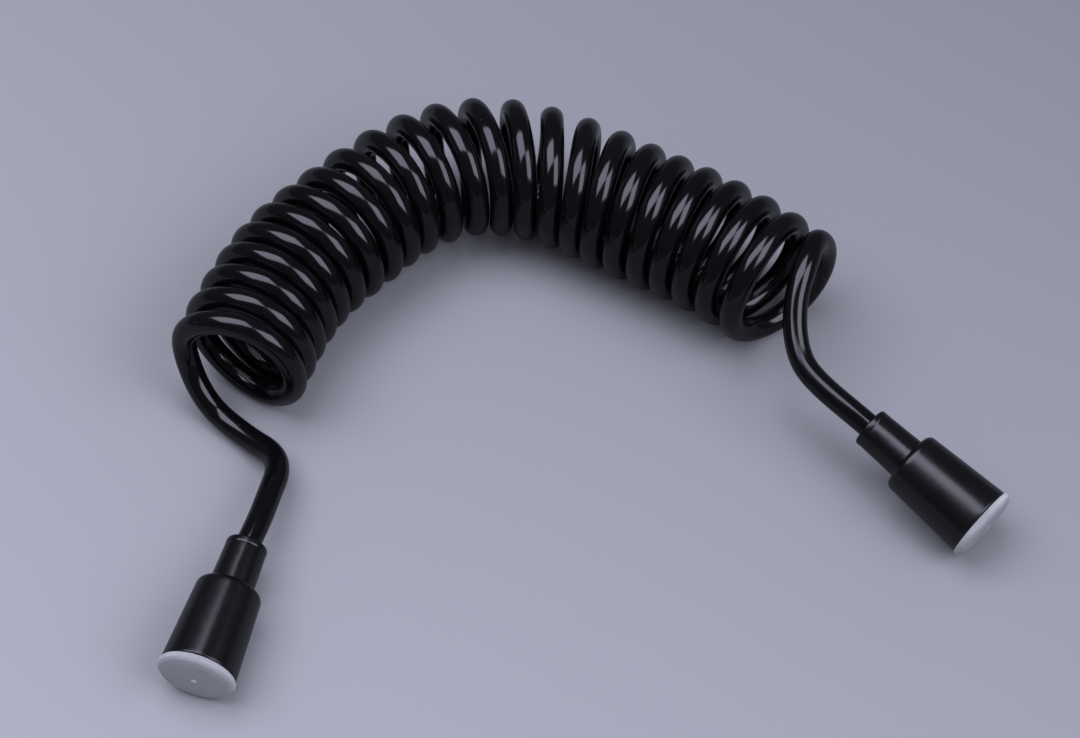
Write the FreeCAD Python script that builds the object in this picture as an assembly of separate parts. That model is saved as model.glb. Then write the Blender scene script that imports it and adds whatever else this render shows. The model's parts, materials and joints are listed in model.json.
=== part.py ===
import FreeCAD, Part
import math
import os

# Coiled supply hose for a hand spray, lying at rest in a shallow arch.
# Units are millimetres, +Z up.  The floor under the coil is z = 0 and the
# origin is the middle of the footprint.  The hose is a right-handed helix of
# about 23 turns whose axis runs left (-X) to right (+X) and bows away (+Y).
# A lead leaves the coil at each end and carries a crimped ferrule, a swivel
# nut and a push-in protective cap.
#
# The one-piece elastic hose is cut into half-turn lengths, square to its
# centreline, so that the lengths can twist against each other the way the
# wall of a coil spring does when the coil is pulled out.

os.makedirs("parts", exist_ok=True)
V = FreeCAD.Vector

# ---------------------------------------------------------- hose dimensions
HOSE_R = 4.06            # outside radius
HOSE_BORE_R = 2.75
COIL_R = 19.89           # helix radius, to the hose centreline
FIRST_CUT = 0.75         # turn number
LAST_CUT = 22.75         # turn number
CUTS_PER_TURN = 2
CUT_GAP = 0.06           # each hose length stops this short of its cut
SPAN = 10.5              # longest stretch of centreline drawn with one pair of arcs

# Plan curve of the coil axis: (turn number, x, y)
COIL_AXIS = [
    (-0.5, -100.87, -17.94), (2.0, -92.32, 4.75), (4.5, -81.58, 25.16),
    (7.0, -64.98, 43.24), (9.5, -44.71, 60.93), (12.0, -18.2, 69.25),
    (14.5, 9.48, 61.97), (17.0, 32.68, 49.26), (20.0, 58.74, 34.37),
    (23.5, 88.68, 10.35)]

# Yaw of the turns against the coil axis: (turn number, degrees)
COIL_YAW = [
    (0.0, -6.0), (3.0, -10.86), (6.0, -0.72), (9.0, -9.73), (12.0, 9.08),
    (15.0, 9.57), (18.0, -3.65), (21.0, -5.35), (23.5, -4.83)]

# Added to every tabled point, to put the origin in the middle of the footprint
SHIFT = V(-15.3071, 18.8047, 0)

# Centreline points (x, y, z) of the two leads, from the ferrule to the coil
LEAD_LEFT = [
    (-91.6, -72.43, 13.37), (-89.52, -65.21, 12.7), (-87.42, -55.92, 11.3),
    (-86.06, -47.54, 9.7), (-87.2, -41.93, 8.4), (-90.01, -37.68, 7.2),
    (-93.73, -34.2, 6.0), (-97.68, -30.63, 5.05), (-102.66, -26.13, 4.6),
    (-108.2, -21.26, 5.9), (-112.53, -16.84, 9.8), (-116.42, -11.04, 17.5)]
LEAD_RIGHT = [
    (102.42, -33.72, 22.85), (96.75, -28.72, 24.2), (91.07, -23.13, 25.6),
    (86.67, -17.19, 27.4), (84.53, -10.57, 30.0), (84.0, -3.61, 33.3),
    (84.73, 3.33, 37.2), (87.4, 11.6, 41.0)]
JOIN_LEFT = -0.20        # turn number where the left lead meets the helix
JOIN_RIGHT = 22.88       # turn number where the right lead leaves it
POINTS_PER_TURN = 32     # centreline points on the helix

# ------------------------------------------------------- fitting dimensions
# Fitting axes: hose-side end of the ferrule x, y, z; azimuth and elevation
# in degrees
FIT_LEFT = (-93.464, -78.234, 13.5208, -105.67, -1.0)
FIT_RIGHT = (107.146, -37.809, 21.5617, -42.54, -10.5)

# Names ending in _S are stations along a fitting axis, measured from the
# hose-side end of the ferrule towards the cap.
HOSE_STATIONS = [18.6, 14.0, 9.0, 4.0, 0.0]   # hose in the ferrule, from its end outwards
CLEARANCE = 0.1          # axial gap between stacked pieces

FERRULE_BORE_R = 4.2
FERRULE_FOOT_R = 6.8     # outside, at the hose side
FERRULE_FOOT_ROUND = 0.6
FERRULE_TAPER_R = 7.25   # wide end of the taper
FERRULE_TAPER_S = 15.6
FERRULE_R = 7.3          # straight part inside the nut
FERRULE_STRAIGHT_S = 16.2
FERRULE_END_S = 20.6
FERRULE_CHAMFER = 0.3
FERRULE_LIP = 1.5        # thickness of the inward lip
FERRULE_LIP_R = 3.1

NUT_START_S = 16.6
NUT_MOUTH_S = 47.2
NUT_R = 10.7             # outside, at the hose side
NUT_SHOULDER = 2.3       # rounding at the hose side
NUT_MOUTH_R = 12.35      # outside, at the mouth
NUT_MOUTH_ROUND = 0.8
POCKET_R = 7.5           # pocket for the ferrule
POCKET_S = 21.2          # bottom of that pocket
WEB_BORE_R = 6.0
WEB_S = 24.6             # chamber side of the web
CHAMBER_R = 9.7
THREAD_START_S = 31.2
THREAD_END_S = 44.2
THREAD_R = 18.63 / 2     # G 1/2 internal thread, minor diameter
COUNTERBORE_R = 10.6

TAIL_BORE_R = 1.8
STEM_START_S = 2.0
STEM_R = 2.5
BARB_R = 2.73
BARB_PITCH = 3.5
BARB_COUNT = 4
BARB_RISE = 1.5          # from the foot of a barb to its crest
BARB_DROP = 0.1          # from the crest back to the stem
NECK_START_S = FERRULE_END_S + 0.05
NECK_R = 4.0
FLANGE_START_S = 26.6
FLANGE_END_S = 28.8
FLANGE_R = 8.9
FLANGE_CHAMFER = 0.3

O_RING_R = 4.97          # to the middle of the section
O_RING_SECTION_R = 0.93
THRUST_BORE_R = 4.8
THRUST_R = 8.95
WASHER_BORE_R = 5.5
WASHER_R = 9.0
WASHER_THICKNESS = 2.1

CAP_R = 12.65
CAP_START_S = NUT_MOUTH_S + CLEARANCE
CAP_END_S = 50.7
CAP_INNER_ROUND = 0.4    # rim edge beside the nut
CAP_OUTER_ROUND = 0.7
CAP_WEB = 1.6            # thickness inside the plug ring
PLUG_R = 10.45
PLUG_BORE_R = 8.4
PLUG_LENGTH = 2.7
PLUG_CHAMFER = 0.3
GATE_RECESS = 0.25       # depth of the recess round the moulding gate
GATE_TOP = 0.05          # depth of the gate's top below the cap face


# --------------------------------------------------------------- centreline
class Spline:
    """Natural cubic spline through the points (knot, value)."""

    def __init__(self, knots, values):
        count = len(knots)
        step = [b - a for a, b in zip(knots, knots[1:])]
        diagonal, right = [1.0] * count, [0.0] * count
        upper, second = [0.0] * count, [0.0] * count
        # tridiagonal system for the second derivatives, forward sweep
        for i in range(1, count - 1):
            weight = step[i - 1] / diagonal[i - 1]
            upper[i] = step[i]
            diagonal[i] = 2 * (step[i - 1] + step[i]) - weight * upper[i - 1]
            right[i] = (6 * ((values[i + 1] - values[i]) / step[i]
                             - (values[i] - values[i - 1]) / step[i - 1])
                        - weight * right[i - 1])
        for i in range(count - 2, -1, -1):
            second[i] = (right[i] - upper[i] * second[i + 1]) / diagonal[i]
        self.knots, self.values, self.second = knots, values, second

    def locate(self, t):
        """Interval that holds t, its length, and t's weights on its two ends."""
        i = sum(knot <= t for knot in self.knots[1:-1])
        start, end = self.knots[i:i + 2]
        length = end - start
        return i, length, (end - t) / length, (t - start) / length

    def value(self, t):
        i, length, p, q = self.locate(t)
        bow = (p ** 3 - p) * self.second[i] + (q ** 3 - q) * self.second[i + 1]
        return p * self.values[i] + q * self.values[i + 1] + bow * length ** 2 / 6

    def slope(self, t):
        i, length, p, q = self.locate(t)
        bow = (3 * q * q - 1) * self.second[i + 1] - (3 * p * p - 1) * self.second[i]
        return (self.values[i + 1] - self.values[i]) / length + bow * length / 6


axis_turns, axis_xs, axis_ys = zip(*COIL_AXIS)
AXIS_X = Spline(axis_turns, axis_xs)
AXIS_Y = Spline(axis_turns, axis_ys)
YAW = Spline(*zip(*COIL_YAW))


def helix(turn):
    """Point of the coil at a turn number; whole numbers are the tops."""
    heading = (math.atan2(AXIS_Y.slope(turn), AXIS_X.slope(turn))
               + math.radians(YAW.value(turn)))
    angle = 2 * math.pi * turn
    # the coil advances mostly over the top and bottom of each turn
    advance = turn + math.sin(2 * angle) / (4 * math.pi)
    side = COIL_R * math.sin(angle)
    return V(AXIS_X.value(advance) + side * math.sin(heading),
             AXIS_Y.value(advance) - side * math.cos(heading),
             COIL_R + HOSE_R + COIL_R * math.cos(angle)) + SHIFT


def fit_axis(fit):
    """Start point and direction of a fitting axis."""
    x, y, z, azimuth, elevation = fit
    azimuth, elevation = math.radians(azimuth), math.radians(elevation)
    direction = V(math.cos(elevation) * math.cos(azimuth),
                  math.cos(elevation) * math.sin(azimuth),
                  math.sin(elevation))
    return V(x, y, z) + SHIFT, direction


def lead_points(fit, lead):
    """Centreline points from the hose end in a ferrule to the coil."""
    start, direction = fit_axis(fit)
    return ([start + direction * station for station in HOSE_STATIONS]
            + [V(*point) + SHIFT for point in lead])


class Centreline:
    """Centreline of the whole hose, left end to right end."""

    def __init__(self):
        left = lead_points(FIT_LEFT, LEAD_LEFT)
        right = lead_points(FIT_RIGHT, LEAD_RIGHT)
        turns = [i / POINTS_PER_TURN
                 for i in range(math.ceil(JOIN_LEFT * POINTS_PER_TURN),
                                math.floor(JOIN_RIGHT * POINTS_PER_TURN) + 1)]
        points = left + [helix(turn) for turn in turns] + right[::-1]
        # distance along the polyline is the parameter of the splines
        along = [0.0]
        for a, b in zip(points, points[1:]):
            along.append(along[-1] + (b - a).Length)
        self.end = along[-1]
        self.splines = [Spline(along, [point[i] for point in points]) for i in range(3)]
        self.along_at_turn = dict(zip(turns, along[len(left):]))

    def point(self, along):
        return V(*[spline.value(along) for spline in self.splines])

    def tangent(self, along):
        return V(*[spline.slope(along) for spline in self.splines]).normalize()


CENTRELINE = Centreline()


# --------------------------------------------------------------------- hose
def save(name, solid):
    solid.exportStep("parts/%s.step" % name)


def biarc(p0, t0, p1, t1):
    """Meeting point and tangent of the two arcs that join p0, t0 to p1, t1."""
    chord, tangents = p1 - p0, t0 + t1
    # reach: distance from each end to its arc's control point, a root of
    # a * reach^2 + b * reach + c = 0; a vanishes for parallel tangents
    a, b, c = 2 * (1 - t0.dot(t1)), 2 * chord.dot(tangents), -chord.dot(chord)
    reach = -c / b if a < 1e-12 else (-b + math.sqrt(b * b - 4 * a * c)) / (2 * a)
    control0, control1 = p0 + t0 * reach, p1 - t1 * reach
    return (control0 + control1) * 0.5, (control1 - control0).normalize()


def annulus(point, axis):
    """Cross-section of the hose."""
    face = Part.Face([Part.Wire([Part.makeCircle(radius, point, axis)])
                      for radius in (HOSE_R, HOSE_BORE_R)])
    face.validate()
    return face


def bend(start, tangent, end):
    """Hollow length along the arc that leaves start along tangent to end."""
    chord = end - start
    side = chord - tangent * chord.dot(tangent)
    if side.Length < 1e-7:
        return annulus(start, tangent).extrude(chord)
    normal = side.normalize()
    radius = chord.dot(chord) / (2 * chord.dot(normal))
    angle = 2 * math.atan2(chord.dot(normal), chord.dot(tangent))
    return annulus(start, tangent).revolve(
        start + normal * radius, tangent.cross(normal), math.degrees(angle))


def outward(solid):
    """The solid, turned right side out if its volume is negative."""
    if solid.Volume < 0:
        solid.reverse()
    return solid


def hose_length(start, end):
    """Hollow length of hose between two distances along the centreline:
    smoothly joined arcs, one pair for every stretch of SPAN or less."""
    count = max(2, math.ceil((end - start) / SPAN))
    stations = [start + (end - start) * i / count for i in range(count + 1)]
    ends = [(CENTRELINE.point(s), CENTRELINE.tangent(s)) for s in stations]
    skin, first, last = [], None, None
    for (p0, t0), (p1, t1) in zip(ends, ends[1:]):
        middle, middle_tangent = biarc(p0, t0, p1, t1)
        for q0, tangent, q1 in ((p0, t0, middle), (middle, middle_tangent, p1)):
            # keep the walls, and only the two outermost flat ends
            for face in bend(q0, tangent, q1).Faces:
                if not isinstance(face.Surface, Part.Plane):
                    skin.append(face)
                elif first is None and face.CenterOfMass.distanceToPoint(p0) < 1e-4:
                    first = face
                elif face.CenterOfMass.distanceToPoint(q1) < 1e-4:
                    last = face
    shell = Part.Shell(skin + [first, last])
    shell.sewShape()
    return outward(Part.Solid(shell.Shells[0]))


cut_count = round((LAST_CUT - FIRST_CUT) * CUTS_PER_TURN) + 1
cuts = [CENTRELINE.along_at_turn[FIRST_CUT + i / CUTS_PER_TURN] for i in range(cut_count)]
save("hose_lead_left", hose_length(0.0, cuts[0] - CUT_GAP))
for i in range(1, cut_count):
    save("coil_half_%02d" % i, hose_length(cuts[i - 1] + CUT_GAP, cuts[i] - CUT_GAP))
save("hose_lead_right", hose_length(cuts[-1] + CUT_GAP, CENTRELINE.end))


# ----------------------------------------------------------------- fittings
# Each piece is built on the Z axis, where z is the station.
def turned(outline):
    """Solid of revolution about Z.

    outline: closed list of corners (r, s); an entry (r, s, mid_r, mid_s)
    reaches (r, s) along an arc through (mid_r, mid_s)."""
    edges = []
    for before, item in zip([outline[-1]] + outline, outline):
        a, b = V(before[0], 0, before[1]), V(item[0], 0, item[1])
        if len(item) == 4:
            edges.append(Part.Arc(a, V(item[2], 0, item[3]), b).toShape())
        else:
            edges.append(Part.makeLine(a, b))
    return outward(Part.Face(Part.Wire(edges)).revolve(V(0, 0, 0), V(0, 0, 1), 360))


def round_low(r, s, radius):
    """Outline entries that round the outer corner (r, s) at a low end."""
    inset = radius * (1 - math.sqrt(0.5))
    return [(r - radius, s), (r, s + radius, r - inset, s + inset)]


def round_high(r, s, radius):
    """Outline entries that round the outer corner (r, s) at a high end."""
    inset = radius * (1 - math.sqrt(0.5))
    return [(r, s - radius), (r - radius, s, r - inset, s - inset)]


def flat_ring(bore_r, r, s0, s1):
    return turned([(bore_r, s0), (r, s0), (r, s1), (bore_r, s1)])


def ferrule():
    """Crimped sleeve: tapered over the hose, straight inside the nut."""
    lip_s = FERRULE_END_S - FERRULE_LIP
    return turned([
        (FERRULE_BORE_R, 0.0),
        *round_low(FERRULE_FOOT_R, 0.0, FERRULE_FOOT_ROUND),
        (FERRULE_TAPER_R, FERRULE_TAPER_S),
        (FERRULE_R, FERRULE_STRAIGHT_S),
        (FERRULE_R, FERRULE_END_S - FERRULE_CHAMFER),
        (FERRULE_R - FERRULE_CHAMFER, FERRULE_END_S),
        (FERRULE_LIP_R, FERRULE_END_S),
        (FERRULE_LIP_R, lip_s),
        (FERRULE_BORE_R, lip_s)])


def nut():
    """Swivel nut: pocket for the ferrule, web, chamber, thread wall, mouth."""
    return turned([
        (POCKET_R, NUT_START_S),
        *round_low(NUT_R, NUT_START_S, NUT_SHOULDER),
        *round_high(NUT_MOUTH_R, NUT_MOUTH_S, NUT_MOUTH_ROUND),
        (COUNTERBORE_R, NUT_MOUTH_S),
        (COUNTERBORE_R, THREAD_END_S),
        (THREAD_R, THREAD_END_S),
        (THREAD_R, THREAD_START_S),
        (CHAMBER_R, THREAD_START_S),
        (CHAMBER_R, WEB_S),
        (WEB_BORE_R, WEB_S),
        (WEB_BORE_R, POCKET_S),
        (POCKET_R, POCKET_S)])


def hose_tail():
    """Barbed stem inside the hose, neck through the web, flange."""
    stem = [(TAIL_BORE_R, STEM_START_S), (STEM_R, STEM_START_S)]
    for i in range(1, BARB_COUNT + 1):
        crest_s = i * BARB_PITCH + BARB_RISE
        stem += [(BARB_R, crest_s), (STEM_R, crest_s + BARB_DROP)]
    return turned(stem + [
        (STEM_R, NECK_START_S),
        (NECK_R, NECK_START_S),
        (NECK_R, FLANGE_START_S),
        (FLANGE_R - FLANGE_CHAMFER, FLANGE_START_S),
        (FLANGE_R, FLANGE_START_S + FLANGE_CHAMFER),
        (FLANGE_R, FLANGE_END_S - FLANGE_CHAMFER),
        (FLANGE_R - FLANGE_CHAMFER, FLANGE_END_S),
        (TAIL_BORE_R, FLANGE_END_S)])


def o_ring():
    """Ring on the neck, midway along the web hole of the nut."""
    middle = V(0, 0, (POCKET_S + WEB_S) / 2)
    return Part.makeTorus(O_RING_R, O_RING_SECTION_R, middle, V(0, 0, 1))


def thrust_ring():
    """Plain ring between web and flange."""
    return flat_ring(THRUST_BORE_R, THRUST_R, WEB_S + CLEARANCE, FLANGE_START_S - CLEARANCE)


def washer():
    """Flat sealing washer on the mouth side of the flange."""
    start_s = FLANGE_END_S + CLEARANCE
    return flat_ring(WASHER_BORE_R, WASHER_R, start_s, start_s + WASHER_THICKNESS)


def cap():
    """Protective cap: rimmed disc, hollow plug, small recessed moulding gate."""
    plug_s = CAP_START_S - PLUG_LENGTH
    return turned([
        (PLUG_BORE_R, plug_s),
        (PLUG_R - PLUG_CHAMFER, plug_s),
        (PLUG_R, plug_s + PLUG_CHAMFER),
        (PLUG_R, CAP_START_S),
        *round_low(CAP_R, CAP_START_S, CAP_INNER_ROUND),
        *round_high(CAP_R, CAP_END_S, CAP_OUTER_ROUND),
        (1.5, CAP_END_S),
        (1.3, CAP_END_S - GATE_RECESS),
        (0.7, CAP_END_S - GATE_RECESS),
        (0.6, CAP_END_S - GATE_TOP),
        (0.0, CAP_END_S - GATE_TOP),
        (0.0, CAP_END_S - CAP_WEB),
        (PLUG_BORE_R, CAP_END_S - CAP_WEB)])


for side, fit in (("left", FIT_LEFT), ("right", FIT_RIGHT)):
    start, direction = fit_axis(fit)
    frame = FreeCAD.Placement(start, FreeCAD.Rotation(V(0, 0, 1), direction))
    for build in (ferrule, nut, hose_tail, o_ring, thrust_ring, washer, cap):
        piece = build()
        piece.Placement = frame.multiply(piece.Placement)
        save(side + "_" + build.__name__, piece)
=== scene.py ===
# Black coiled hose with a ferrule, a nut and a pale cap at each end, lying on the floor z = 0.
# The coil runs from left (-X) to right (+X) and bows towards +Y; both fittings point
# forwards, towards -Y. Shapes are in millimetres, the scene in metres.
import bpy
import bmesh
import json
import math
import numpy as np
from bisect import bisect_right
from mathutils import Matrix, Vector


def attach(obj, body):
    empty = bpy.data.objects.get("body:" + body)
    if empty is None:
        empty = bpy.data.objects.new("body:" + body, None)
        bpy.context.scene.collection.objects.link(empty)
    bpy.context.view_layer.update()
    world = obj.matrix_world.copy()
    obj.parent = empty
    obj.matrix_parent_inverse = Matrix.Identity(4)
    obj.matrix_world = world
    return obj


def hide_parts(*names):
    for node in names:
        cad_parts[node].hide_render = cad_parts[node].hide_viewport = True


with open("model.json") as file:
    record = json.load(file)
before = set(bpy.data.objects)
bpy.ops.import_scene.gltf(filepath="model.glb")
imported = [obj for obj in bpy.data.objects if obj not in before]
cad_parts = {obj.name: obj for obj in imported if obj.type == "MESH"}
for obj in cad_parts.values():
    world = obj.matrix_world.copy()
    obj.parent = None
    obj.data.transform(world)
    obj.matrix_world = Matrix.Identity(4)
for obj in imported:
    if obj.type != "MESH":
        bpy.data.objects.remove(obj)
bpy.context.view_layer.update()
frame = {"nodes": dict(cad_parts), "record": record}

MM = 0.001

# ====================================================================== sizes
HOSE_R = 4.06
HOSE_BORE_R = 2.75
COIL_R = 19.89                     # coil axis to hose centreline
FIRST_CUT, LAST_CUT = 0.75, 22.75  # turn numbers; the coil is cut every half turn
CUT_STEP = 0.5
CUT_GAP = 0.02                     # each length stops this far short of its cut
RING_STEP = 1.25                   # longest spacing of the hose mesh rings
OUTER_SIDES, BORE_SIDES = 48, 16
TURN_POINTS = 32                   # centreline points per turn

# plan curve of the coil axis against turn number
AXIS_TURN = [-0.5, 2.0, 4.5, 7.0, 9.5, 12.0, 14.5, 17.0, 20.0, 23.5]
AXIS_X = [-100.87, -92.32, -81.58, -64.98, -44.71, -18.2, 9.48, 32.68, 58.74, 88.68]
AXIS_Y = [-17.94, 4.75, 25.16, 43.24, 60.93, 69.25, 61.97, 49.26, 34.37, 10.35]
# yaw of the turns against that axis, in degrees
YAW_TURN = [0.0, 3.0, 6.0, 9.0, 12.0, 15.0, 18.0, 21.0, 23.5]
YAW_DEG = [-6.0, -10.86, -0.72, -9.73, 9.08, 9.57, -3.65, -5.35, -4.83]
# moves the origin to the middle of the footprint
SHIFT_X, SHIFT_Y = -15.3071, 18.8047

# centreline points (x, y, z) of the two leads, from the ferrule to the coil
LEAD_LEFT = [
    (-91.6, -72.43, 13.37), (-89.52, -65.21, 12.7), (-87.42, -55.92, 11.3),
    (-86.06, -47.54, 9.7), (-87.2, -41.93, 8.4), (-90.01, -37.68, 7.2),
    (-93.73, -34.2, 6.0), (-97.68, -30.63, 5.05), (-102.66, -26.13, 4.6),
    (-108.2, -21.26, 5.9), (-112.53, -16.84, 9.8), (-116.42, -11.04, 17.5)]
LEAD_RIGHT = [
    (102.42, -33.72, 22.85), (96.75, -28.72, 24.2), (91.07, -23.13, 25.6),
    (86.67, -17.19, 27.4), (84.53, -10.57, 30.0), (84.0, -3.61, 33.3),
    (84.73, 3.33, 37.2), (87.4, 11.6, 41.0)]
# turn numbers where the leads meet the helix
JOIN_LEFT, JOIN_RIGHT = -0.20, 22.88

# Stations run along a fitting axis from the hose-side end of the ferrule.
HOSE_END_S = 18.6                  # the hose stops here inside the ferrule
HOSE_STATIONS = (0.0, 4.0, 9.0, 14.0, HOSE_END_S)

FERRULE_END_S = 20.6
FERRULE_STEP_S = FERRULE_END_S - 1.5  # the bore narrows here
FERRULE_BORE_R = HOSE_R + 0.01
CRIMP_S0, CRIMP_S1 = 4.0, 15.6
CRIMP_COUNT, CRIMP_DEPTH = 8, 0.035
CRIMP_MIN_R = 6.0                  # only the outer wall is crimped

NUT_S0 = 16.6
NUT_S1 = 47.2                      # mouth of the nut
NUT_POCKET_R, NUT_POCKET_S = 7.5, 21.2  # pocket for the ferrule
NUT_WEB_R, NUT_WEB_S = 6.0, 24.6   # hole in the web, and its chamber side
NUT_CHAMBER_R = 9.7
NUT_SMALL_R = 10.7                 # outside radius at the hose side
NUT_MOUTH_R = 12.35                # outside radius at the mouth
NUT_SHOULDER = 2.3                 # outside fillets at the two ends
NUT_LIP = 0.8
COUNTERBORE_R = 10.6
THREAD_S0, THREAD_S1 = 31.2, 44.2
THREAD_MINOR_R = 9.315             # G 1/2 internal thread, minor diameter 18.63
THREAD_ROOT_R = 10.35
THREAD_PITCH = 1.814
THREAD_FADE = 0.9
THREAD_PEAK, THREAD_SLOPE = 1.18, 2.3616  # groove profile before clipping to 0..1
REED_COUNT, REED_DEPTH = 96, 0.016
REED_S0, REED_S1 = NUT_S0 + NUT_SHOULDER, NUT_S1 - 0.4
REED_FADE_S0, REED_FADE_S1 = 1.5, 0.8
REED_WALL_BAND = 0.25              # reeding stays this close to the tapered wall

CAP_R = 12.65
CAP_S0, CAP_S1 = 47.3, 50.7
CAP_PLUG_S = CAP_S0 - 2.7          # end of the plug ring
CAP_PLUG_R, CAP_PLUG_BORE_R = 10.45, 8.4
CAP_BEVEL_S = CAP_S1 - 1.9         # end of the straight rim
CAP_INSIDE_S = CAP_S1 - 1.6        # inner face within the plug ring
GRIP_COUNT, GRIP_DEPTH, GRIP_BAND = 120, 0.24, 0.12
GATE_GLINT_R, GATE_GLINT_S = 1.0, CAP_S1 - 0.3  # stub in the middle of the cap, glossy and coloured pale as a painted glint

ARC_STEP_DEG = 9.0                 # longest step along an outline fillet


# ================================================================= centreline
class Spline:
    """Natural cubic spline of values over increasing knots."""

    def __init__(self, knots, values):
        count = len(knots)
        gap = [b - a for a, b in zip(knots, knots[1:])]
        lower, middle, upper, right = [0.0] * count, [1.0] * count, [0.0] * count, [0.0] * count
        for i in range(1, count - 1):
            lower[i], middle[i], upper[i] = gap[i - 1], 2 * (gap[i - 1] + gap[i]), gap[i]
            right[i] = 6 * ((values[i + 1] - values[i]) / gap[i]
                            - (values[i] - values[i - 1]) / gap[i - 1])
        for i in range(1, count):
            factor = lower[i] / middle[i - 1]
            middle[i] -= factor * upper[i - 1]
            right[i] -= factor * right[i - 1]
        second = [0.0] * count
        second[-1] = right[-1] / middle[-1]
        for i in range(count - 2, -1, -1):
            second[i] = (right[i] - upper[i] * second[i + 1]) / middle[i]
        self.knots, self.values, self.second = knots, values, second

    def segment(self, t):
        """Index and width of the segment at t, and the weights of its two ends."""
        knots = self.knots
        i = max(0, min(len(knots) - 2, bisect_right(knots, t) - 1))
        width = knots[i + 1] - knots[i]
        return i, width, (knots[i + 1] - t) / width, (t - knots[i]) / width

    def __call__(self, t):
        i, width, p, q = self.segment(t)
        bend = (p ** 3 - p) * self.second[i] + (q ** 3 - q) * self.second[i + 1]
        return p * self.values[i] + q * self.values[i + 1] + bend * width * width / 6

    def slope(self, t):
        i, width, p, q = self.segment(t)
        bend = -(3 * p * p - 1) * self.second[i] + (3 * q * q - 1) * self.second[i + 1]
        return (self.values[i + 1] - self.values[i]) / width + bend * width / 6


class Fitting:
    """Axis of one end fitting, from the hose-side end of its ferrule (degrees)."""

    def __init__(self, x, y, z, azimuth, elevation):
        turn, rise = math.radians(azimuth), math.radians(elevation)
        self.start = shifted((x, y, z))
        self.axis = (math.cos(rise) * math.cos(turn), math.cos(rise) * math.sin(turn),
                     math.sin(rise))

    def point(self, station):
        return tuple(c + station * a for c, a in zip(self.start, self.axis))


def shifted(point):
    x, y, z = point
    return (x + SHIFT_X, y + SHIFT_Y, z)


FITTINGS = {
    "left": Fitting(x=-93.464, y=-78.234, z=13.5208, azimuth=-105.67, elevation=-1.0),
    "right": Fitting(x=107.146, y=-37.809, z=21.5617, azimuth=-42.54, elevation=-10.5),
}
axis_x = Spline(AXIS_TURN, AXIS_X)
axis_y = Spline(AXIS_TURN, AXIS_Y)
yaw = Spline(YAW_TURN, YAW_DEG)


def helix(turn):
    """Point of the coil at a turn number; whole numbers are the tops."""
    heading = math.atan2(axis_y.slope(turn), axis_x.slope(turn)) + math.radians(yaw(turn))
    # advances over the tops and bottoms only
    advance = turn + math.sin(4 * math.pi * turn) / (4 * math.pi)
    side = COIL_R * math.sin(2 * math.pi * turn)
    return (axis_x(advance) + side * math.sin(heading) + SHIFT_X,
            axis_y(advance) - side * math.cos(heading) + SHIFT_Y,
            COIL_R + HOSE_R + COIL_R * math.cos(2 * math.pi * turn))


def hose_centreline():
    """Splines x, y, z over the length from the left end, the whole length,
    and the length reached at each helix point."""
    points = [FITTINGS["left"].point(s) for s in reversed(HOSE_STATIONS)]
    points += [shifted(p) for p in LEAD_LEFT]
    coil_start = len(points)
    turns = [k / TURN_POINTS for k in range(math.ceil(JOIN_LEFT * TURN_POINTS),
                                            math.floor(JOIN_RIGHT * TURN_POINTS) + 1)]
    points += [helix(t) for t in turns]
    points += [shifted(p) for p in reversed(LEAD_RIGHT)]
    points += [FITTINGS["right"].point(s) for s in HOSE_STATIONS]
    lengths = [0.0]
    for a, b in zip(points, points[1:]):
        lengths.append(lengths[-1] + math.dist(a, b))
    splines = [Spline(lengths, [p[i] for p in points]) for i in range(3)]
    return splines, lengths[-1], dict(zip(turns, lengths[coil_start:]))


# =============================================================== mesh helpers
def make_object(name, verts, faces, uv, corner_normals=None):
    """verts in millimetres; uv and corner_normals run in face corner order."""
    mesh = bpy.data.meshes.new(name)
    mesh.from_pydata([tuple(v) for v in np.asarray(verts) * MM], [], faces)
    mesh.polygons.foreach_set("use_smooth", [True] * len(mesh.polygons))
    layer = mesh.uv_layers.new(name="along")
    layer.data.foreach_set("uv", np.asarray(uv, dtype=np.float32).ravel())
    mesh.update()
    if corner_normals is not None:
        mesh.normals_split_custom_set([tuple(n) for n in corner_normals])
    obj = bpy.data.objects.new(name, mesh)
    bpy.context.scene.collection.objects.link(obj)
    return obj


def unit(v):
    v = np.asarray(v, dtype=float)
    return v / np.linalg.norm(v)


def dress(obj, material):
    """One material on every face of a piece or of a carried-over CAD node."""
    slots = obj.data.materials
    if not len(slots):
        slots.append(material)
    for i in range(len(slots)):
        slots[i] = material


body_of_node = {node: body
                for body, nodes in frame["record"]["behaviour"]["bodies"].items()
                for node in nodes}


def install(piece, node, material):
    """Puts a finished piece in the place of its CAD node."""
    dress(piece, material)
    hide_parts(node)
    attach(piece, body_of_node[node])


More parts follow.
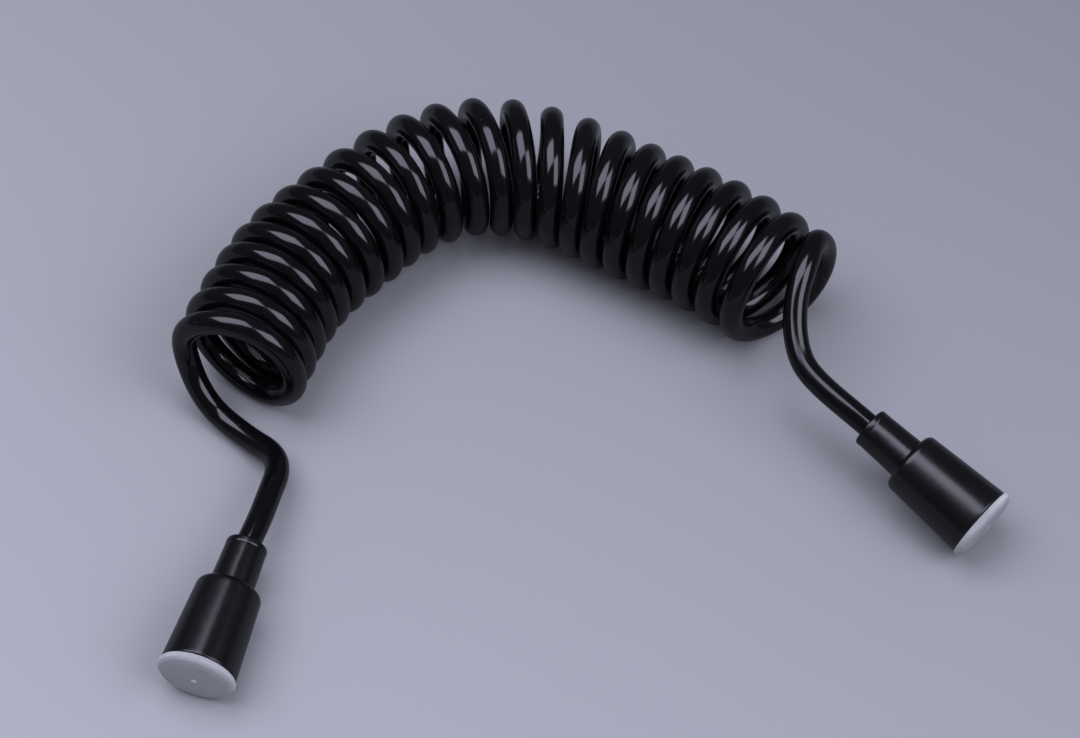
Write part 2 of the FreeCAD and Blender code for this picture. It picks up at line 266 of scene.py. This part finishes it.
# ======================================================================= hose
def hose_rings():
    """Rings of the whole hose with one untwisted frame, and the ring index of
    every cut, so that neighbouring lengths share the frame at their cut."""
    splines, total, length_at = hose_centreline()
    cut_count = int(round((LAST_CUT - FIRST_CUT) / CUT_STEP)) + 1
    stops = [0.0] + [length_at[FIRST_CUT + CUT_STEP * i] for i in range(cut_count)] + [total]
    lengths, cuts = [0.0], [0]
    for a, b in zip(stops, stops[1:]):
        count = max(4, int(math.ceil((b - a) / RING_STEP)))
        lengths += [a + (b - a) * (i + 1) / count for i in range(count)]
        cuts.append(len(lengths) - 1)
    centres = np.array([[spline(u) for spline in splines] for u in lengths])
    slopes = [[spline.slope(u) for spline in splines] for u in lengths]
    tangents = np.array([[c / math.sqrt(sum(k * k for k in slope)) for c in slope]
                         for slope in slopes])
    normals = np.zeros_like(centres)
    normal = unit(np.cross(tangents[0], (0.3, 0.2, 1.0)))
    for i in range(len(lengths)):
        if i:
            # double reflection: carries the frame along without spin
            step = centres[i] - centres[i - 1]
            square = step @ step
            normal = normal - (2 / square) * (step @ normal) * step
            mirrored = tangents[i - 1] - (2 / square) * (step @ tangents[i - 1]) * step
            turn = tangents[i] - mirrored
            square = turn @ turn
            if square > 1e-18:
                normal = normal - (2 / square) * (turn @ normal) * turn
            normal = unit(normal - (normal @ tangents[i]) * tangents[i])
        normals[i] = normal
    return lengths, cuts, centres, tangents, normals, np.cross(tangents, normals)


LENGTHS, CUTS, CENTRES, TANGENTS, NORMALS, BINORMALS = hose_rings()


def hose_mesh(name, first, last):
    """Closed hollow length of hose from ring first to ring last."""
    rings = last - first + 1
    verts, faces, corner_normals, uv = [], [], [], []
    line = CENTRES[first:last + 1].copy()
    line[0] += CUT_GAP * TANGENTS[first]
    line[-1] -= CUT_GAP * TANGENTS[last]
    bases = []
    for sides, radius, outward in ((OUTER_SIDES, HOSE_R, 1), (BORE_SIDES, HOSE_BORE_R, -1)):
        angle = 2 * math.pi * np.arange(sides) / sides
        rays = (np.cos(angle)[None, :, None] * NORMALS[first:last + 1, None, :]
                + np.sin(angle)[None, :, None] * BINORMALS[first:last + 1, None, :])
        base = len(verts)
        bases.append(base)
        verts += list((line[:, None, :] + radius * rays).reshape(-1, 3))
        for r in range(rings - 1):
            for k in range(sides):
                corners = [(r, k), (r, k + 1), (r + 1, k + 1), (r + 1, k)][::outward]
                faces.append([base + i * sides + j % sides for i, j in corners])
                for i, j in corners:
                    corner_normals.append(outward * rays[i, j % sides])
                    uv.append((LENGTHS[first + i] * MM, j / sides))
    # annular ends: one face per bore side, reaching out to several outer sides
    outer_base, bore_base = bases
    step = OUTER_SIDES // BORE_SIDES
    for end, facing in ((0, -1), (rings - 1, 1)):
        outer_ring = outer_base + end * OUTER_SIDES
        bore_ring = bore_base + end * BORE_SIDES
        for k in range(BORE_SIDES):
            face = [outer_ring + (k * step + j) % OUTER_SIDES for j in range(step + 1)]
            face += [bore_ring + (k + 1) % BORE_SIDES, bore_ring + k]
            faces.append(face[::facing])
            corner_normals += [facing * TANGENTS[first + end]] * len(face)
            uv += [(LENGTHS[first + end] * MM, 0.5)] * len(face)
    return make_object(name, verts, faces, uv, corner_normals)


def add_hose(material):
    halves = ["coil_half_%02d" % (i + 1) for i in range(len(CUTS) - 3)]
    for i, node in enumerate(["hose_lead_left"] + halves + ["hose_lead_right"]):
        install(hose_mesh("v_" + node, CUTS[i], CUTS[i + 1]), node, material)


# ============================================================== turned pieces
def round_corners(items):
    """Closed outline of points from items (radius, station[, fillet])."""
    out = []
    for i, item in enumerate(items):
        corner = np.array(item[:2], float)
        if len(item) < 3:
            out.append((corner, True))
            continue
        fillet = item[2]
        back = unit(np.array(items[i - 1][:2], float) - corner)
        ahead = unit(np.array(items[(i + 1) % len(items)][:2], float) - corner)
        angle = math.acos(max(-1, min(1, float(back @ ahead))))
        tangent = fillet / math.tan(angle / 2)
        centre = corner + unit(back + ahead) * fillet / math.sin(angle / 2)
        start, end = corner + back * tangent - centre, corner + ahead * tangent - centre
        count = max(2, int(math.ceil(math.degrees(math.pi - angle) / ARC_STEP_DEG)))
        sweep = math.atan2(start[0] * end[1] - start[1] * end[0], float(start @ end))
        for j in range(count + 1):
            c, s = math.cos(sweep * j / count), math.sin(sweep * j / count)
            spoke = np.array((start[0] * c - start[1] * s, start[0] * s + start[1] * c))
            out.append((centre + spoke, False))
    return [point for point, _ in out]


def refine(points, limit):
    """Splits long straight stretches; limit is a length or a function of both ends."""
    out = []
    for i, start in enumerate(points):
        out.append(start)
        end = points[(i + 1) % len(points)]
        step = limit(start, end) if callable(limit) else limit
        count = int(math.ceil(np.linalg.norm(end - start) / step))
        out += [start + (end - start) * j / count for j in range(1, count)]
    return out


def lathe(name, fitting, points, sides, local_radius, sharp_deg):
    """Closed solid of revolution about a fitting axis. local_radius(radius,
    station, angles) shapes each ring; the outline may touch the axis."""
    axis, base = np.array(fitting.axis), np.array(fitting.start)
    x = unit(np.cross((0, 0, 1.0), axis))
    y = np.cross(axis, x)
    angle = 2 * math.pi * np.arange(sides) / sides
    verts, index = [], []
    for radius, station in points:
        if abs(radius) < 1e-9:
            index.append([len(verts)] * sides)
            verts.append(base + station * axis)
            continue
        radii = local_radius(radius, station, angle)
        index.append(list(range(len(verts), len(verts) + sides)))
        verts += list(base + station * axis + radii[:, None]
                      * (np.cos(angle)[:, None] * x + np.sin(angle)[:, None] * y))
    closed = np.array(points + points[:1])
    steps = np.linalg.norm(np.diff(closed, axis=0), axis=1)
    length = np.concatenate([[0], np.cumsum(steps)])
    faces, uv = [], []
    for i in range(len(points)):
        here, there = index[i], index[(i + 1) % len(points)]
        if here[0] == here[-1] and there[0] == there[-1]:
            continue
        for k in range(sides):
            k2 = (k + 1) % sides
            face = []
            for vert, row, column in ((here[k], i, k), (there[k], i + 1, k),
                                      (there[k2], i + 1, k + 1), (here[k2], i, k + 1)):
                # corners on the axis coincide, so these faces are triangles
                if vert not in face:
                    face.append(vert)
                    uv.append((length[row] * MM, column / sides))
            faces.append(face)
    obj = make_object(name, verts, faces, uv)
    # outward faces whichever way the outline runs
    bm = bmesh.new()
    bm.from_mesh(obj.data)
    bmesh.ops.recalc_face_normals(bm, faces=bm.faces)
    bm.to_mesh(obj.data)
    bm.free()
    obj.data.set_sharp_from_angle(angle=math.radians(sharp_deg))
    return obj


def add_turned(side, part, outline, limit, sides, local_radius, material, sharp_deg=28.0):
    node = side + "_" + part
    points = refine(round_corners(outline), limit)
    piece = lathe("v_" + node, FITTINGS[side], points, sides, local_radius, sharp_deg)
    install(piece, node, material)
    return piece


def waves(count, angle):
    """Smooth waves from 0 to 1 round the axis."""
    return 0.5 - 0.5 * np.cos(count * angle)


def ferrule_radius(radius, station, angle):
    """Very slight out-of-roundness left by the crimping dies."""
    out = np.full(len(angle), radius)
    if radius > CRIMP_MIN_R and CRIMP_S0 < station < CRIMP_S1:
        weight = math.sin(math.pi * (station - CRIMP_S0) / (CRIMP_S1 - CRIMP_S0)) ** 2
        out = out - CRIMP_DEPTH * weight * waves(CRIMP_COUNT, angle)
    return out


def nut_radius(radius, station, angle):
    """Fine reeding outside, helical thread inside."""
    out = np.full(len(angle), radius)
    if radius > THREAD_ROOT_R + 0.1 and REED_S0 < station < REED_S1:
        fade = min(1.0, (station - REED_S0) / REED_FADE_S0, (REED_S1 - station) / REED_FADE_S1)
        wall = NUT_SMALL_R + ((NUT_MOUTH_R - NUT_SMALL_R) * (station - REED_S0)
                              / (NUT_S1 - REED_S0 - NUT_LIP))
        if abs(radius - wall) < REED_WALL_BAND:
            out = out - REED_DEPTH * fade * waves(REED_COUNT, angle)
    if abs(radius - THREAD_MINOR_R) < 1e-6 and THREAD_S0 < station < THREAD_S1:
        fade = min(1.0, (station - THREAD_S0) / THREAD_FADE, (THREAD_S1 - station) / THREAD_FADE)
        phase = ((station - THREAD_PITCH * angle / (2 * math.pi)) / THREAD_PITCH) % 1.0
        groove = np.clip(THREAD_PEAK - np.abs(phase - 0.5) * THREAD_SLOPE, 0.0, 1.0)
        groove = groove * groove * (3 - 2 * groove)
        out = out + (THREAD_ROOT_R - THREAD_MINOR_R) * fade * groove
    return out


def nut_step(start, end):
    """Fine rings along the thread wall, coarse ones elsewhere."""
    off_wall = abs(start[0] - THREAD_MINOR_R) + abs(end[0] - THREAD_MINOR_R)
    return 0.2 if off_wall < 1e-6 else 1.2


def cap_radius(radius, station, angle):
    """Rim with a fine moulded grip."""
    out = np.full(len(angle), radius)
    if radius > CAP_R - GRIP_BAND and CAP_S0 - 0.1 < station < CAP_BEVEL_S:
        out = out - GRIP_DEPTH * waves(GRIP_COUNT, angle)
    return out


# outlines: radius, station and, on rounded corners, fillet radius
FERRULE_OUTLINE = [
    (FERRULE_BORE_R, 0.35, 0.25), (HOSE_R + 0.45, 0.0, 0.3), (6.8, 0.0, 0.75),
    (6.86, 1.9, 0.3), (6.76, 2.3, 0.25), (6.8, 2.8, 0.3),
    (7.25, 15.6, 0.6), (7.3, 16.2, 0.4), (7.3, FERRULE_END_S, 0.3),
    (3.1, FERRULE_END_S, 0.1), (3.1, FERRULE_STEP_S, 0.1), (FERRULE_BORE_R, FERRULE_STEP_S, 0.1)]
NUT_OUTLINE = [
    (NUT_POCKET_R, NUT_S0, 0.35), (NUT_SMALL_R, NUT_S0, NUT_SHOULDER),
    (NUT_MOUTH_R, NUT_S1, NUT_LIP), (COUNTERBORE_R, NUT_S1, 0.35),
    (COUNTERBORE_R, THREAD_S1), (THREAD_MINOR_R, THREAD_S1),
    (THREAD_MINOR_R, THREAD_S0), (NUT_CHAMBER_R, THREAD_S0),
    (NUT_CHAMBER_R, NUT_WEB_S, 0.3), (NUT_WEB_R, NUT_WEB_S, 0.2),
    (NUT_WEB_R, NUT_POCKET_S, 0.2), (NUT_POCKET_R, NUT_POCKET_S, 0.2)]
CAP_OUTLINE = [
    (CAP_PLUG_BORE_R, CAP_PLUG_S, 0.2), (CAP_PLUG_R, CAP_PLUG_S, 0.35),
    (CAP_PLUG_R, CAP_S0, 0.15), (CAP_R, CAP_S0, 0.3), (CAP_R, CAP_BEVEL_S, 1.2),
    (CAP_R - 1.0, CAP_S1 - 0.95, 1.3), (CAP_R - 3.2, CAP_S1 - 0.42, 4.0),
    (6.0, CAP_S1 - 0.27, 8.0), (1.3, CAP_S1 - 0.25, 0.3), (0.85, CAP_S1 - 0.05, 0.25),
    (0.35, CAP_S1), (0.0, CAP_S1), (0.0, CAP_INSIDE_S), (CAP_PLUG_BORE_R, CAP_INSIDE_S, 0.3)]


def add_ferrule(side, material):
    add_turned(side, "ferrule", FERRULE_OUTLINE, limit=0.9, sides=96,
               local_radius=ferrule_radius, material=material)


def add_nut(side, material):
    add_turned(side, "nut", NUT_OUTLINE, limit=nut_step, sides=384, local_radius=nut_radius,
               material=material, sharp_deg=40.0)


def add_cap(side, material, gate_glint):
    cap = add_turned(side, "cap", CAP_OUTLINE, limit=0.8, sides=480,
                     local_radius=cap_radius, material=material)
    # second material on the stub in the middle of the outer face, coloured pale as a painted
    # glint
    axis, base = np.array(FITTINGS[side].axis), np.array(FITTINGS[side].start)
    cap.data.materials.append(gate_glint)
    for face in cap.data.polygons:
        offset = np.array(face.center) / MM - base
        station = float(offset @ axis)
        if station > GATE_GLINT_S and np.linalg.norm(offset - station * axis) < GATE_GLINT_R:
            face.material_index = 1


# ================================================================== materials
class Shader:
    """Principled material with small helpers for its node tree."""

    def __init__(self, name):
        self.material = bpy.data.materials.new(name)
        self.material.use_nodes = True
        self.tree = self.material.node_tree
        self.tree.nodes.clear()
        output = self.node("ShaderNodeOutputMaterial")
        self.bsdf = self.node("ShaderNodeBsdfPrincipled")
        self.put(output.inputs[0], self.bsdf.outputs[0])
        self.place = self.node("ShaderNodeTexCoord").outputs["Object"]
        self.normal = None

    def node(self, kind, **settings):
        node = self.tree.nodes.new(kind)
        for key, value in settings.items():
            setattr(node, key, value)
        return node

    def put(self, socket, value):
        """Links an output or sets a plain value."""
        if hasattr(value, "is_output"):
            self.tree.links.new(value, socket)
        else:
            socket.default_value = value

    def fill(self, node, values):
        for socket, value in zip(node.inputs, values):
            self.put(socket, value)
        return node.outputs[0]

    def math(self, operation, a, b=0.0):
        return self.fill(self.node("ShaderNodeMath", operation=operation), (a, b, 0.0))

    def noise(self, scale, detail=3.0, rough=0.5, distortion=0.0, place=None):
        node = self.node("ShaderNodeTexNoise")
        self.put(node.inputs["Vector"], place or self.place)
        self.put(node.inputs["Scale"], scale)
        self.put(node.inputs["Detail"], detail)
        self.put(node.inputs["Roughness"], rough)
        self.put(node.inputs["Distortion"], distortion)
        return node.outputs[0]

    def specks(self, scale, size):
        """1 inside small round spots scattered in space, 0 elsewhere."""
        node = self.node("ShaderNodeTexVoronoi")
        self.put(node.inputs["Vector"], self.place)
        self.put(node.inputs["Scale"], scale)
        return self.math("LESS_THAN", node.outputs["Distance"], size)

    def remap(self, value, span, to):
        return self.fill(self.node("ShaderNodeMapRange"), (value, *span, *to))

    def blend(self, factor, a, b):
        node = self.node("ShaderNodeMix", data_type="RGBA")
        for i, value in ((0, factor), (6, a), (7, b)):
            self.put(node.inputs[i], value)
        return node.outputs[2]

    def patches(self, colour, pattern, span, amount, tint):
        """Tint where the pattern runs high, up to the given amount."""
        return self.blend(self.remap(pattern, span=span, to=(0.0, amount)), colour, tint)

    def split(self, vector):
        node = self.node("ShaderNodeSeparateXYZ")
        self.put(node.inputs[0], vector)
        return node.outputs

    def tube_place(self, across, along):
        """Seamless coordinates on a tube from its UV (metres, turn)."""
        uv = self.split(self.node("ShaderNodeUVMap", uv_map="along").outputs[0])
        angle = self.math("MULTIPLY", uv[1], 2 * math.pi)
        return self.fill(self.node("ShaderNodeCombineXYZ"), (
            self.math("MULTIPLY", self.math("COSINE", angle), across),
            self.math("MULTIPLY", self.math("SINE", angle), across),
            self.math("MULTIPLY", uv[0], along)))

    def bump(self, height, depth):
        """Adds relief, depth in metres, on top of the relief so far."""
        node = self.node("ShaderNodeBump")
        node.inputs["Strength"].default_value = 1.0
        node.inputs["Distance"].default_value = depth
        self.put(node.inputs["Height"], height)
        if self.normal is not None:
            self.put(node.inputs["Normal"], self.normal)
        self.normal = node.outputs[0]

    def finish(self, **values):
        """Sets the surface inputs by name and returns the material."""
        for key, value in dict(values, Normal=self.normal).items():
            self.put(self.bsdf.inputs[key.replace("_", " ")], value)
        return self.material


def grey(value, blue=0.0):
    return (value, value, value * (1 + blue), 1.0)


def hose_material():
    m = Shader("hose_gloss_black")
    smear = m.noise(scale=190.0, detail=4.0, rough=0.6, distortion=0.6)
    lines = m.noise(scale=1.0, rough=0.6, place=m.tube_place(across=7.0, along=9.0))
    colour = m.blend(m.noise(scale=55.0), grey(0.0014, blue=0.15), grey(0.0034, blue=0.15))
    # dust specks, only in some areas: paler and rougher
    dusty = m.math("GREATER_THAN", m.noise(scale=90.0, detail=2.0), 0.60)
    dust = m.math("MULTIPLY", m.specks(scale=420.0, size=0.055), dusty)
    colour = m.blend(m.math("MULTIPLY", dust, 0.35), colour, grey(0.28, blue=0.05))
    rough = m.remap(smear, span=(0.35, 0.75), to=(0.105, 0.165))
    rough = m.math("ADD", rough, m.math("MULTIPLY", lines, 0.02))
    rough = m.math("MAXIMUM", rough, m.math("MULTIPLY", dust, 0.7))
    m.bump(m.noise(scale=95.0, detail=1.0), depth=0.000028)
    m.bump(lines, depth=0.000006)
    m.bump(m.noise(scale=2600.0, detail=2.0), depth=0.0000022)
    return m.finish(Base_Color=colour, Roughness=rough, IOR=1.47, Specular_IOR_Level=0.5)


def ferrule_material():
    m = Shader("ferrule_gloss_black")
    turning = m.noise(scale=1.0, detail=2.0, rough=0.6,
                      place=m.tube_place(across=0.6, along=5200.0))
    smear = m.noise(scale=260.0, detail=4.0, rough=0.6, distortion=0.4)
    colour = m.blend(m.noise(scale=120.0), grey(0.002, blue=0.1), grey(0.005, blue=0.1))
    colour = m.patches(colour, m.noise(scale=900.0, detail=5.0, rough=0.7),
                       span=(0.66, 0.74), amount=0.25, tint=grey(0.014))
    rough = m.remap(smear, span=(0.3, 0.75), to=(0.17, 0.25))
    rough = m.math("ADD", rough, m.math("MULTIPLY", turning, 0.04))
    m.bump(turning, depth=0.000006)
    m.bump(m.noise(scale=1900.0, detail=2.0), depth=0.000003)
    return m.finish(Base_Color=colour, Roughness=rough, IOR=1.5)


def nut_material():
    m = Shader("nut_satin_black")
    smear = m.noise(scale=140.0, detail=4.0, rough=0.6, distortion=0.5)
    rub = m.noise(scale=1.0, detail=4.0, rough=0.7, place=m.tube_place(across=3.0, along=150.0))
    colour = m.blend(m.noise(scale=90.0), grey(0.0018, blue=0.15), grey(0.0042, blue=0.15))
    colour = m.patches(colour, rub, span=(0.62, 0.74), amount=0.2, tint=grey(0.008, blue=0.1))
    rough = m.remap(smear, span=(0.3, 0.75), to=(0.21, 0.26))
    m.bump(m.noise(scale=5200.0, rough=0.6), depth=0.0000035)
    m.bump(m.noise(scale=420.0, detail=2.0), depth=0.000004)
    return m.finish(Base_Color=colour, Roughness=rough, IOR=1.5, Specular_IOR_Level=0.5)


def cap_material():
    m = Shader("cap_pale_plastic")
    colour = m.blend(m.noise(scale=70.0, detail=4.0, rough=0.6),
                     (0.325, 0.325, 0.33, 1), (0.38, 0.38, 0.38, 1))
    # flow marks, then scuffs
    colour = m.patches(colour, m.noise(scale=260.0, detail=4.0, rough=0.6, distortion=1.2),
                       span=(0.55, 0.8), amount=0.5, tint=(0.28, 0.28, 0.29, 1))
    colour = m.patches(colour, m.noise(scale=1500.0, detail=5.0, rough=0.7),
                       span=(0.62, 0.72), amount=0.35, tint=(0.245, 0.245, 0.255, 1))
    rough = m.remap(m.noise(scale=300.0), span=(0.3, 0.7), to=(0.36, 0.55))
    m.bump(m.noise(scale=800.0), depth=0.000025)
    m.bump(m.noise(scale=4000.0, detail=2.0), depth=0.000004)
    return m.finish(Base_Color=colour, Roughness=rough, IOR=1.5, Subsurface_Weight=0.45,
                    Subsurface_Radius=(0.9, 0.95, 1.0), Subsurface_Scale=0.003)


def gate_glint_material():
    """Stub left where the plastic entered the mould, glossy and coloured pale as a painted
    glint.
    """
    m = Shader("cap_gate_glint")
    # pale colour: painted glint on the stub
    colour = m.blend(m.noise(scale=900.0), (0.62, 0.62, 0.63, 1), (0.74, 0.74, 0.75, 1))
    rough = m.remap(m.noise(scale=1600.0), span=(0.3, 0.7), to=(0.10, 0.18))
    m.bump(m.noise(scale=3000.0, detail=2.0), depth=0.000006)
    return m.finish(Base_Color=colour, Roughness=rough, IOR=1.5)


def brass_material():
    m = Shader("tail_brass")
    colour = m.blend(m.noise(scale=160.0, detail=4.0, rough=0.6),
                     (0.62, 0.43, 0.17, 1), (0.76, 0.57, 0.27, 1))
    # tarnish
    colour = m.patches(colour, m.noise(scale=420.0, detail=5.0, rough=0.7),
                       span=(0.55, 0.75), amount=0.6, tint=(0.33, 0.22, 0.10, 1))
    rough = m.remap(m.noise(scale=700.0, detail=4.0), span=(0.3, 0.7), to=(0.22, 0.40))
    m.bump(m.noise(scale=2600.0, rough=0.6), depth=0.000008)
    return m.finish(Base_Color=colour, Metallic=1.0, Roughness=rough)


def rubber_material():
    m = Shader("seal_rubber")
    colour = m.blend(m.noise(scale=300.0, detail=4.0), grey(0.012), grey(0.026))
    # pale bloom
    colour = m.patches(colour, m.noise(scale=1100.0, detail=5.0, rough=0.7),
                       span=(0.6, 0.75), amount=0.4, tint=grey(0.07))
    rough = m.remap(m.noise(scale=500.0), span=(0.3, 0.7), to=(0.55, 0.75))
    m.bump(m.noise(scale=3600.0, rough=0.6), depth=0.00001)
    return m.finish(Base_Color=colour, Roughness=rough, IOR=1.5)


def acetal_material():
    m = Shader("thrust_acetal")
    colour = m.blend(m.noise(scale=180.0, detail=4.0),
                     (0.74, 0.74, 0.71, 1), (0.84, 0.84, 0.81, 1))
    rough = m.remap(m.noise(scale=600.0), span=(0.3, 0.7), to=(0.30, 0.45))
    m.bump(m.noise(scale=2400.0, rough=0.6), depth=0.000008)
    return m.finish(Base_Color=colour, Roughness=rough, IOR=1.48, Subsurface_Weight=0.2,
                    Subsurface_Radius=(1, 1, 0.9), Subsurface_Scale=0.001)


FLOOR_PAINTED_FALLOFF = (-0.60, -0.73)      # painted light falloff: change of floor brightness per metre along X and Y


def floor_material():
    m = Shader("floor_pale")
    colour = m.blend(m.noise(scale=3.0, detail=2.0),
                     (0.278, 0.280, 0.284, 1), (0.289, 0.291, 0.296, 1))
    # painted light falloff: the floor colour darkens towards the right and the back
    place = m.split(m.place)
    painted_falloff = m.math("ADD", m.math("MULTIPLY", place[0], FLOOR_PAINTED_FALLOFF[0]),
                   m.math("MULTIPLY", place[1], FLOOR_PAINTED_FALLOFF[1]))
    painted_light_gain = m.remap(painted_falloff, span=(-0.25, 0.20), to=(0.69, 1.14))
    # painted shade in reflections: the glossy hose shows the floor at half brightness, darker
    # than the eye sees it directly
    glossy = m.node("ShaderNodeLightPath").outputs["Is Glossy Ray"]
    painted_light_gain = m.math("MULTIPLY", painted_light_gain, m.remap(glossy, span=(0.0, 1.0), to=(1.0, 0.5)))
    scaled = m.node("ShaderNodeVectorMath", operation="SCALE")
    m.put(scaled.inputs[0], colour)
    m.put(scaled.inputs["Scale"], painted_light_gain)
    rough = m.remap(m.noise(scale=14.0), span=(0.3, 0.7), to=(0.80, 0.88))
    m.bump(m.noise(scale=2600.0, rough=0.6), depth=0.00002)
    return m.finish(Base_Color=scaled.outputs[0], Roughness=rough, IOR=1.4,
                    Specular_IOR_Level=0.2)


# ============================================================ floor and light
LILAC = (0.79, 0.805, 1.0)
LIGHT_TARGET = Vector((0.0, 0.0, 0.02))
# name, direction from the target, distance (m), width and depth (m), power (W),
# colour, roll (degrees)
LIGHTS = [
    ("overhead", (-0.30, 0.105, 0.948), 2.2, 2.3, 1.6, 53.0, LILAC, 12.0),
    ("right", (0.630, -0.285, 0.722), 2.2, 1.5, 1.7, 36.0, LILAC, 25.0),
]
WORLD_COLOUR = (0.79, 0.81, 1.0, 1)
WORLD_STRENGTH = 0.40
WORLD_REFLECTED = 0.08             # strength seen in reflections
CAMERA_ELEVATION = math.radians(54.997)
CAMERA_DISTANCE = 0.91995


def add_floor():
    bpy.ops.mesh.primitive_grid_add(x_subdivisions=24, y_subdivisions=24, size=6.0,
                                    location=(0, 0, -0.00005))
    floor = bpy.context.object
    floor.name = "floor"
    dress(floor, floor_material())


def add_world(scene):
    """Dim surroundings in reflections, more of a fill on matt surfaces."""
    world = bpy.data.worlds.new("studio")
    world.use_nodes = True
    nodes, links = world.node_tree.nodes, world.node_tree.links
    nodes.clear()
    output = nodes.new("ShaderNodeOutputWorld")
    background = nodes.new("ShaderNodeBackground")
    background.inputs["Color"].default_value = WORLD_COLOUR
    path = nodes.new("ShaderNodeLightPath")
    level = nodes.new("ShaderNodeMapRange")
    for socket, value in zip(level.inputs[1:5], (0.0, 1.0, WORLD_STRENGTH, WORLD_REFLECTED)):
        socket.default_value = value
    links.new(path.outputs["Is Glossy Ray"], level.inputs[0])
    links.new(level.outputs[0], background.inputs["Strength"])
    links.new(background.outputs[0], output.inputs[0])
    scene.world = world


def add_light(scene, name, direction, distance, width, depth, power, colour, roll):
    light = bpy.data.lights.new(name, "AREA")
    light.shape = "RECTANGLE"
    light.size = width
    light.size_y = depth
    light.energy = power
    light.color = colour
    obj = bpy.data.objects.new(name, light)
    scene.collection.objects.link(obj)
    z = Vector(direction).normalized()
    x = Vector((0, 1, 0)).cross(z).normalized()
    turn = Matrix((x, z.cross(x), z)).transposed().to_4x4()
    obj.matrix_world = (Matrix.Translation(LIGHT_TARGET + z * distance) @ turn
                        @ Matrix.Rotation(math.radians(roll), 4, "Z"))


def add_camera(scene):
    camera = bpy.data.objects.new("camera", bpy.data.cameras.new("camera"))
    scene.collection.objects.link(camera)
    aim = Vector((SHIFT_X * MM, SHIFT_Y * MM, 0.0))
    eye = aim + Vector((0, -CAMERA_DISTANCE * math.cos(CAMERA_ELEVATION),
                        CAMERA_DISTANCE * math.sin(CAMERA_ELEVATION)))
    turn = (aim - eye).to_track_quat("-Z", "Y").to_matrix().to_4x4()
    camera.matrix_world = Matrix.Translation(eye) @ turn
    camera.data.sensor_fit = "HORIZONTAL"
    camera.data.sensor_width = 36.0
    camera.data.lens = 90.12
    camera.data.clip_start = 0.01
    camera.data.clip_end = 20.0
    scene.camera = camera


# =================================================================== assembly
hose_black, ferrule_black, nut_black = hose_material(), ferrule_material(), nut_material()
cap_plastic, cap_gate_glint = cap_material(), gate_glint_material()
brass, rubber, acetal = brass_material(), rubber_material(), acetal_material()

add_hose(hose_black)
for side in FITTINGS:
    add_ferrule(side, ferrule_black)
    add_nut(side, nut_black)
    add_cap(side, cap_plastic, cap_gate_glint)
    # hidden parts keep their CAD shape
    for part, material in (("hose_tail", brass), ("o_ring", rubber),
                           ("thrust_ring", acetal), ("washer", rubber)):
        dress(frame["nodes"][side + "_" + part], material)

add_floor()
scene = bpy.context.scene
scene.view_settings.view_transform = "Standard"
scene.view_settings.look = "None"
add_world(scene)
for row in LIGHTS:
    add_light(scene, *row)
add_camera(scene)
